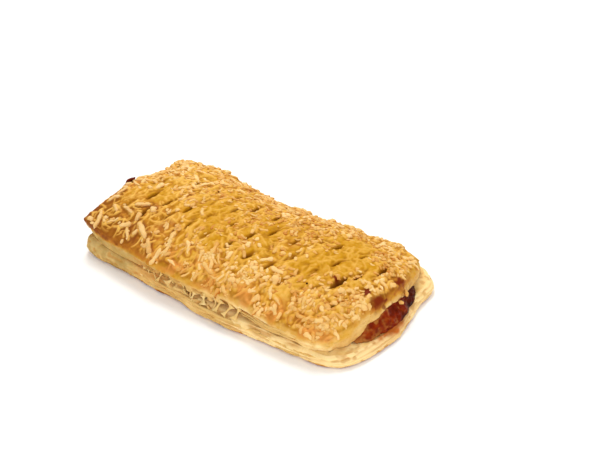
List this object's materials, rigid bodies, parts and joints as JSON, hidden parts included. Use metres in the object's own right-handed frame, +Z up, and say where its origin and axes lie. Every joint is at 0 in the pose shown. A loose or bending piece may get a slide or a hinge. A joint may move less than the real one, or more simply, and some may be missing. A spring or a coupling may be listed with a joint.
{
  "type": "cheese puff pastry",
  "caption": "Oblong baked puff pastry with a tomato and cheese filling between layered sheets, crosswise slits and grated cheese on top.",
  "frame": {"origin": "on the surface it rests on, under the middle of the pastry's box", "axes": "+X along the length to the end where the filling shows most, -Y the front long side, +Z up"},
  "size_m": [0.1534, 0.0816, 0.0267],
  "materials": {
    "pale_dough": "matt, layered, baked pale with browned edges",
    "filling": "moist, dark red-brown, burnt along its edge",
    "golden_crust": "golden baked crust with cream-beige grated cheese"
  },
  "bodies": {
    "root": {"bottom_sheet": "pale_dough", "filling": "filling", "top_sheet": "golden_crust"}
  },
  "joints": []
}
